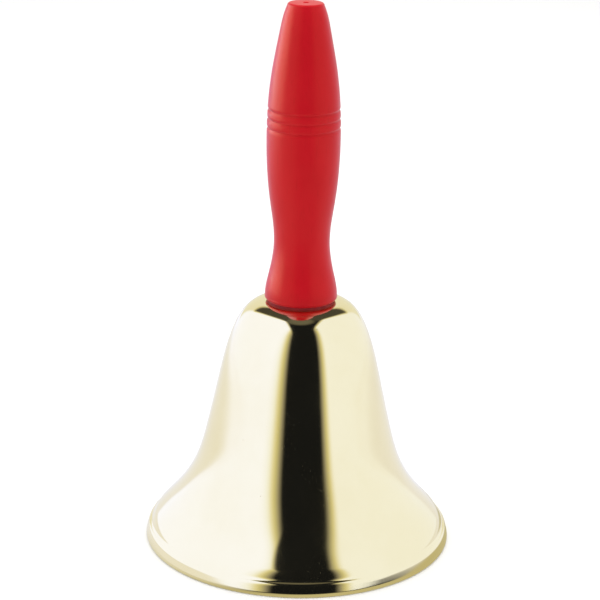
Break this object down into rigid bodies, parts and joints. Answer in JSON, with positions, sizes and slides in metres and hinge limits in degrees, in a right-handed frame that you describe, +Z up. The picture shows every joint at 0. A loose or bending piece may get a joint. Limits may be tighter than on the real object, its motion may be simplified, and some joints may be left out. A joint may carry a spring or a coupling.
{
  "type": "hand bell",
  "caption": "Hand-rung alarm bell: a flared polished shell clamped under a turned lacquered handle, with a clapper that hangs from a pin in a swivelling yoke.",
  "frame": {"origin": "centre of the bell's mouth, in the plane the rim stands on", "axes": "+Z up along the bell's axis towards the handle's tip, +Y along the clapper's pin towards its head, +X completes the right-handed frame"},
  "size_m": [0.12, 0.12, 0.2129],
  "materials": {
    "red_lacquer": "turned wood under satin red lacquer",
    "insert_brass": "machined",
    "red_fibre": "vulcanised fibre",
    "polished_brass": "spun, polished and clear coated",
    "zinc_steel": "bright zinc plate",
    "spring_steel": "blackened",
    "yoke_steel": "pressed strip, zinc plate",
    "rod_steel": "drawn bar",
    "bush_brass": "machined",
    "grey_nylon": "moulded",
    "ball_brass": "turned"
  },
  "bodies": {
    "bell": {"handle": "red_lacquer", "handle_insert": "insert_brass", "base_washer": "red_fibre", "bell_shell": "polished_brass", "crown_washer": "zinc_steel", "lock_washer": "spring_steel", "clamp_nut": "zinc_steel", "hanger_stud": "zinc_steel", "thrust_washer": "zinc_steel", "swivel_clip": "spring_steel"},
    "yoke": {"clapper_yoke": "yoke_steel", "pivot_pin": "zinc_steel", "pin_washer": "zinc_steel", "pin_clip": "spring_steel"},
    "clapper": {"clapper_rod": "rod_steel", "pivot_bush": "bush_brass", "eye_spacers": "grey_nylon", "clapper_ball": "ball_brass", "ball_washer": "zinc_steel", "ball_nut": "zinc_steel"}
  },
  "joints": [
    {"name": "yoke_swivel", "type": "hinge", "parent": "bell", "child": "yoke", "pos_m": [0, 0, 0.0861], "axis": [0, 0, 1], "continuous": true},
    {"name": "clapper_swing", "type": "hinge", "parent": "yoke", "child": "clapper", "pos_m": [0, 0, 0.07665], "axis": [0, 1, 0], "range_deg": [-29.5, 29.5]}
  ]
}
